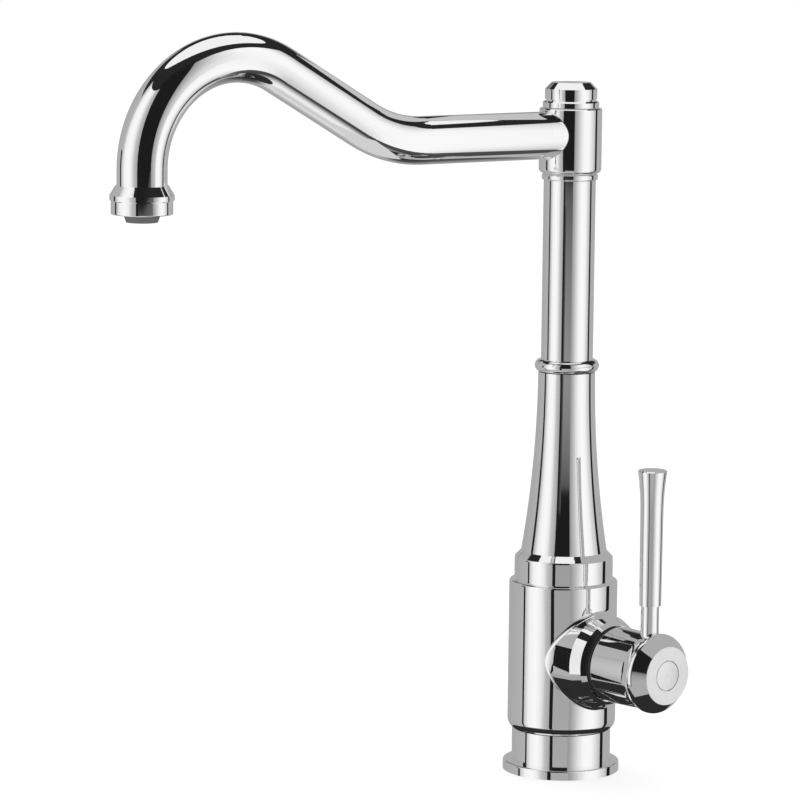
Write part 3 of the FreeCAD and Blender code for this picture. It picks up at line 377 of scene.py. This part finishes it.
def on_piece(tree, stretch=(1, 1, 1)):
    """Places on the piece, stretched where a pattern runs along one way."""
    coord = tree.nodes.new("ShaderNodeTexCoord")
    mapping = add_node(tree, "ShaderNodeMapping", Scale=stretch)
    tree.links.new(coord.outputs["Object"], mapping.inputs["Vector"])
    return mapping.outputs[0]


def grain(tree, scale, detail, stretch=(1, 1, 1)):
    """Noise over the piece, from 0 to 1."""
    noise = add_node(tree, "ShaderNodeTexNoise", Scale=scale, Detail=detail)
    tree.links.new(on_piece(tree, stretch), noise.inputs["Vector"])
    return noise.outputs["Fac"]


def fine_lines(tree, pitch, waver):
    """Lines one pitch apart that waver a little. A wave texture of scale 1 repeats every pi / 10."""
    return add_node(tree, "ShaderNodeTexWave", Scale=math.pi / 10 / pitch, Distortion=waver, Detail=2)


def turning_lines(tree, axis, pitch):
    """Fine lines round a turned piece, one pitch apart along its axis."""
    wave = fine_lines(tree, pitch, waver=0.6)
    wave.bands_direction = axis
    tree.links.new(on_piece(tree), wave.inputs["Vector"])
    return wave.outputs["Fac"]


def ranged(tree, factor, low, high, start=0.0, stop=1.0):
    """Moves a factor from one range to another, and stays in it."""
    step = add_node(tree, "ShaderNodeMapRange", From_Min=start, From_Max=stop, To_Min=low, To_Max=high)
    tree.links.new(factor, step.inputs["Value"])
    return step.outputs[0]


def raised(tree, surface, height, depth):
    """A fine relief on a surface, from the height of a pattern."""
    relief = add_node(tree, "ShaderNodeBump", Strength=1.0, Distance=depth)
    tree.links.new(height, relief.inputs["Height"])
    tree.links.new(relief.outputs[0], surface.inputs["Normal"])


def plate_roughness(tree):
    """Haze of the polish and a film where water was wiped off."""
    haze = ranged(tree, grain(tree, scale=420, detail=3), low=0.014, high=0.034)
    film = ranged(tree, grain(tree, scale=38, detail=4), low=0, high=0.03, start=0.5, stop=0.75)
    return add_math(tree, "ADD", haze, film)


def new_metal(name):
    """A bare metal shader. Its colour and roughness come next."""
    material, tree, metal = new_material(name, "ShaderNodeBsdfPrincipled")
    metal.inputs["Metallic"].default_value = 1
    return material, tree, metal


def turned_chrome(name, axis):
    """Chrome plate on a piece turned about one axis."""
    material, tree, metal = new_metal(name)
    metal.inputs["Base Color"].default_value = CHROME + (1,)
    lines = ranged(tree, turning_lines(tree, axis, pitch=0.0005), low=0, high=0.012)
    tree.links.new(add_math(tree, "ADD", plate_roughness(tree), lines), metal.inputs["Roughness"])
    return material


def dress(material, *names):
    """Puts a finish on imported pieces."""
    for name in names:
        nodes[name].data.materials.clear()
        nodes[name].data.materials.append(material)


upright_chrome = turned_chrome("upright_turned_chrome", "Z")
dress(upright_chrome, "base_flange")


# Base gasket and the other seals
# Black rubber rings, moulded: the gasket under the flange, the flat seal under the column,
# the rings on the swivel post, the three port seals and the aerator's washer.
def rubber(name):
    """Black rubber with fine pores and a faint bloom."""
    rubber_black = (0.022, 0.022, 0.023)
    bloom_grey = (0.05, 0.05, 0.052)
    material, tree, skin = new_material(name, "ShaderNodeBsdfPrincipled")
    bloom = ranged(tree, grain(tree, scale=240, detail=4), low=0, high=1, start=0.45, stop=0.8)
    tree.links.new(mixed(tree, bloom, rubber_black, bloom_grey), skin.inputs["Base Color"])
    pores = grain(tree, scale=2600, detail=3)
    tree.links.new(ranged(tree, pores, low=0.55, high=0.75), skin.inputs["Roughness"])
    raised(tree, skin, pores, depth=0.00006)
    return material


black_rubber = rubber("black_rubber")
dress(black_rubber, "base_gasket", "column_seal", "spigot_orings", "port_seals", "aerator_seal")

# Mixer body
# A brass casting, polished by hand and chrome plated outside. The hose recess underneath
# and the cartridge pocket stay bare brass, with the grain of the mould.
BRASS = (0.72, 0.52, 0.24)
DULL_BRASS = (0.52, 0.35, 0.16)
recess_radius = 0.0187
recess_top = 0.0181
pocket_radius = 0.0193
pocket_back = -0.014
lever_height = 0.0557
polish_depth = 0.00002
sand_to_polish = 3


def cast_chrome(name, bare=None):
    """Chrome plate on a casting, with a soft waviness from hand polishing."""
    material, tree, metal = new_metal(name)
    polish = grain(tree, scale=70, detail=1)
    if bare is None:
        metal.inputs["Base Color"].default_value = CHROME + (1,)
        tree.links.new(plate_roughness(tree), metal.inputs["Roughness"])
        raised(tree, metal, polish, polish_depth)
        return material
    uncoated = bare(tree)
    patches = ranged(tree, grain(tree, scale=160, detail=5), low=0, high=1, start=0.35, stop=0.7)
    stain = mixed(tree, patches, BRASS, DULL_BRASS)
    tree.links.new(mixed(tree, uncoated, CHROME, stain), metal.inputs["Base Color"])
    matt = ranged(tree, uncoated, low=0, high=0.38)
    tree.links.new(add_math(tree, "ADD", plate_roughness(tree), matt), metal.inputs["Roughness"])
    sand = add_math(tree, "MULTIPLY", grain(tree, scale=1400, detail=3), uncoated)
    raised(tree, metal, add_math(tree, "MULTIPLY_ADD", sand, sand_to_polish, polish), polish_depth)
    return material


def inside_the_body(tree):
    """1 in the hose recess and in the cartridge pocket, 0 outside."""
    x, y, z = places_on(tree)
    y_squared = add_math(tree, "MULTIPLY", y, y)
    off_upright = add_math(tree, "MULTIPLY_ADD", x, x, y_squared)
    recess = add_math(tree, "LESS_THAN", off_upright, recess_radius ** 2)
    recess = add_math(tree, "MULTIPLY", recess, add_math(tree, "LESS_THAN", z, recess_top))
    rise = add_math(tree, "SUBTRACT", z, lever_height)
    off_lever = add_math(tree, "MULTIPLY_ADD", rise, rise, y_squared)
    pocket = add_math(tree, "LESS_THAN", off_lever, pocket_radius ** 2)
    pocket = add_math(tree, "MULTIPLY", pocket, add_math(tree, "GREATER_THAN", x, pocket_back))
    return add_math(tree, "MAXIMUM", recess, pocket)


dress(cast_chrome("body_chrome", inside_the_body), "mixer_body")


# Cartridge case, carrier and turret
# Moulded acetal: the base with its pegs, the housing, the carrier of the moving disc and the
# turning guide of the spindle. The surface has a soft sheen with faint flow marks.
def moulded(name, colour, flow_colour, roughness):
    """A moulded plastic with flow marks in a second colour."""
    material, tree, skin = new_material(name, "ShaderNodeBsdfPrincipled")
    marks = grain(tree, scale=120, detail=3, stretch=(1, 1, 0.35))
    flow = ranged(tree, marks, low=0, high=1, start=0.35, stop=0.7)
    tree.links.new(mixed(tree, flow, colour, flow_colour), skin.inputs["Base Color"])
    texture = grain(tree, scale=3200, detail=2)
    sheen = ranged(tree, texture, low=roughness - 0.06, high=roughness + 0.08)
    tree.links.new(sheen, skin.inputs["Roughness"])
    raised(tree, skin, texture, depth=0.00003)
    return material


ACETAL = (0.84, 0.84, 0.82)
cartridge_acetal = moulded("cartridge_acetal", ACETAL, flow_colour=(0.78, 0.78, 0.75), roughness=0.42)
dress(cartridge_acetal, "cartridge_base", "cartridge_housing", "disc_carrier", "cartridge_turret")


# Ceramic discs
# Two pressed and lapped alumina discs: the fixed one with the three ports, and the moving one
# with the mixing recess. The lapped faces shine softly, with fine random scratches.
def ceramic(name):
    """Lapped alumina with faint specks."""
    alumina = (0.9, 0.9, 0.88)
    speck_tone = (0.82, 0.82, 0.79)
    material, tree, face = new_material(name, "ShaderNodeBsdfPrincipled")
    speck = ranged(tree, grain(tree, scale=900, detail=4), low=0, high=1, start=0.55, stop=0.75)
    tree.links.new(mixed(tree, speck, alumina, speck_tone), face.inputs["Base Color"])
    scratches = grain(tree, scale=5000, detail=2)
    tree.links.new(ranged(tree, scratches, low=0.16, high=0.28), face.inputs["Roughness"])
    face.inputs["IOR"].default_value = 1.7
    return material


dress(ceramic("lapped_ceramic"), "fixed_disc", "moving_disc")


# Steel pin and screw
# Drawn stainless steel: the cross pin that the spindle rocks on and the socket screw
# that holds the hub. Fine lines run round the drawn bar.
def steel(name, axis):
    """Drawn stainless steel with lines round one axis."""
    dark_steel = (0.56, 0.565, 0.57)
    light_steel = (0.66, 0.665, 0.67)
    material, tree, metal = new_metal(name)
    tone = grain(tree, scale=600, detail=3)
    tree.links.new(mixed(tree, tone, dark_steel, light_steel), metal.inputs["Base Color"])
    lines = turning_lines(tree, axis, pitch=0.0003)
    tree.links.new(ranged(tree, lines, low=0.2, high=0.32), metal.inputs["Roughness"])
    raised(tree, metal, lines, depth=0.000006)
    return material


dress(steel("pin_steel", "Y"), "pivot_pin")
dress(steel("screw_steel", "X"), "handle_screw")


# Brass spindle, nut, nipple and swivel post
# Bar brass, turned and milled, left without plate because it is hidden. It keeps its turning
# lines and goes a little darker where water stands.
def bare_brass(name, axis):
    """Turned brass with dull patches that are also rougher."""
    dull_roughness = 0.16
    material, tree, metal = new_metal(name)
    tarnish = ranged(tree, grain(tree, scale=140, detail=5), low=0, high=1, start=0.4, stop=0.75)
    tree.links.new(mixed(tree, tarnish, BRASS, DULL_BRASS), metal.inputs["Base Color"])
    lines = turning_lines(tree, axis, pitch=0.0004)
    turned = ranged(tree, lines, low=0.2, high=0.3)
    rough = add_math(tree, "MULTIPLY_ADD", tarnish, dull_roughness, turned)
    tree.links.new(rough, metal.inputs["Roughness"])
    raised(tree, metal, lines, depth=0.00001)
    return material


dress(bare_brass("lever_axis_brass", "X"), "cartridge_nut", "spindle")
dress(bare_brass("upright_brass", "Z"), "column_nipple", "spigot")

# Dome shield
# A thin black moulding that turns with the spindle
# and closes the gap behind the hub.
DOME_BLACK = (0.03, 0.03, 0.033)
dome_plastic = moulded("dome_plastic", DOME_BLACK, flow_colour=(0.042, 0.042, 0.045), roughness=0.4)
dress(dome_plastic, "dome_shield")

# Bonnet ring
# A coned brass ring screwed into the boss round the dome, turned about the lever's axis
# and chrome plated.
dress(turned_chrome("bonnet_chrome", "X"), "bonnet_ring")

# Lever hub and index button
# A turned brass hub, chrome plated, with a satin front face that keeps fine rings from
# the lathe. The button over the screw is pressed into the face and has the same satin finish.
SATIN = (0.97, 0.97, 0.972)
DULL_SATIN = (0.9, 0.9, 0.904)
face_start = 0.07045


def satin_rings(tree):
    """Fine rings round the lever's axis, as a facing cut leaves them."""
    wave = fine_lines(tree, pitch=0.00022, waver=0.8)
    wave.wave_type = "RINGS"
    wave.rings_direction = "X"
    mapping = add_node(tree, "ShaderNodeMapping", Location=(0, 0, -lever_height))
    coord = tree.nodes.new("ShaderNodeTexCoord")
    tree.links.new(coord.outputs["Object"], mapping.inputs["Vector"])
    tree.links.new(mapping.outputs[0], wave.inputs["Vector"])
    return wave.outputs["Fac"]


def hub_chrome(name, satin_from):
    """Chrome plate that turns satin ahead of a place along the lever's axis."""
    material, tree, metal = new_metal(name)
    on_face = add_math(tree, "GREATER_THAN", places_on(tree)["X"], satin_from)
    tone = mixed(tree, grain(tree, scale=300, detail=4), DULL_SATIN, SATIN)
    tree.links.new(mixed(tree, on_face, CHROME, tone), metal.inputs["Base Color"])
    rings = satin_rings(tree)
    satin = ranged(tree, rings, low=0.3, high=0.42)
    rough = add_math(tree, "MULTIPLY_ADD", on_face, satin, plate_roughness(tree))
    tree.links.new(rough, metal.inputs["Roughness"])
    raised(tree, metal, add_math(tree, "MULTIPLY", rings, on_face), depth=0.000012)
    return material


dress(hub_chrome("hub_chrome", satin_from=face_start), "lever_hub")
dress(hub_chrome("button_satin", satin_from=0), "index_button")

# Lever stem and grip
# A thin turned pin screwed into the hub, and the flared grip screwed on the pin.
# Both are brass, polished and chrome plated.
dress(upright_chrome, "lever_stem", "lever_grip")

# Column: collar, taper, bead and tube
# Turned brass collar, trumpet-shaped taper and bead, and a drawn tube above them, stacked
# on the nipple, all chrome plated.
dress(upright_chrome, "column_collar", "tapered_column", "bead_ring")


def drawn_chrome(name):
    """Chrome plate on drawn tube, with its faint long draw marks."""
    material, tree, metal = new_metal(name)
    metal.inputs["Base Color"].default_value = CHROME + (1,)
    marks = ranged(tree, grain(tree, scale=900, detail=2, stretch=(1, 1, 0.02)), low=0, high=0.012)
    tree.links.new(add_math(tree, "ADD", plate_roughness(tree), marks), metal.inputs["Roughness"])
    return material


tube_chrome = drawn_chrome("tube_chrome")
dress(tube_chrome, "column_tube")

# Swivel: bearing ring, slip washers, head, ring nut and cap
# The cast head turns on the post between two white slip washers. The ring below it and
# the ring nut and cap above it are turned, and all but the washers are chrome plated.
dress(upright_chrome, "bearing_ring", "cap_ring", "cap_nut")
slip_plastic = moulded("slip_plastic", ACETAL, flow_colour=(0.8, 0.8, 0.77), roughness=0.34)
dress(slip_plastic, "lower_slip_washer", "upper_slip_washer")
dress(cast_chrome("head_chrome"), "swivel_head")

# Spout tube and outlet
# A drawn tube bent into a crook, with a flared collar at its end and the screwed shell
# of the aerator, all chrome plated.
dress(tube_chrome, "spout_tube")
dress(upright_chrome, "outlet_collar", "aerator_shell")

# Aerator insert
# A grey acetal moulding with the jets,
# which stands out of the shell as a short nose.
NOSE_GREY = (0.2, 0.203, 0.207)
aerator_plastic = moulded("aerator_plastic", NOSE_GREY, flow_colour=(0.235, 0.238, 0.242), roughness=0.5)
dress(aerator_plastic, "aerator_insert")

# Aerator screen
# A disc of woven stainless wire in a pressed rim. It lies on the insert, under the washer,
# and keeps grit out of the jets.
screen_low, screen_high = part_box("aerator_screen")
screen_middle = (screen_low + screen_high) / 2
screen_radius = (screen_high.x - screen_low.x) / 2
screen_half_thickness = (screen_high.z - screen_low.z) / 2
wire = 0.00026
wire_pitch = 0.0009
weave_height = wire * 0.35
rim_width = 0.0007
bm = bmesh.new()
wire_count = int(2 * screen_radius / wire_pitch)
bmesh.ops.create_grid(bm, x_segments=wire_count, y_segments=wire_count, size=wire_count * wire_pitch / 2)
reach = screen_radius - rim_width / 2
outside = [face for face in bm.faces if max(vert.co.xy.length for vert in face.verts) > reach]
bmesh.ops.delete(bm, geom=outside, context="FACES")
for vert in bm.verts:
    step = round(vert.co.x / wire_pitch + vert.co.y / wire_pitch)
    vert.co.z = weave_height if step % 2 else -weave_height
bmesh.ops.wireframe(bm, faces=bm.faces, thickness=wire, use_boundary=True, use_even_offset=True,
                    use_replace=True)
rim_corners = [
    (screen_radius - rim_width, -screen_half_thickness),
    (screen_radius, -screen_half_thickness),
    (screen_radius, screen_half_thickness),
    (screen_radius - rim_width, screen_half_thickness),
]
rim_verts = [bm.verts.new((across, 0, up)) for across, up in rim_corners]
rim_edges = [bm.edges.new((rim_verts[number - 1], rim_verts[number])) for number in range(4)]
bmesh.ops.spin(bm, geom=rim_verts + rim_edges, cent=(0, 0, 0), axis=(0, 0, 1), angle=math.tau, steps=64,
               use_merge=True)
bmesh.ops.remove_doubles(bm, verts=bm.verts, dist=0.000001)
bmesh.ops.recalc_face_normals(bm, faces=bm.faces)
bmesh.ops.translate(bm, verts=bm.verts, vec=screen_middle)
screen = finish_object("woven_screen", bm, steel("wire_steel", "Z"))
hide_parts("aerator_screen")
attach(screen, "spout")
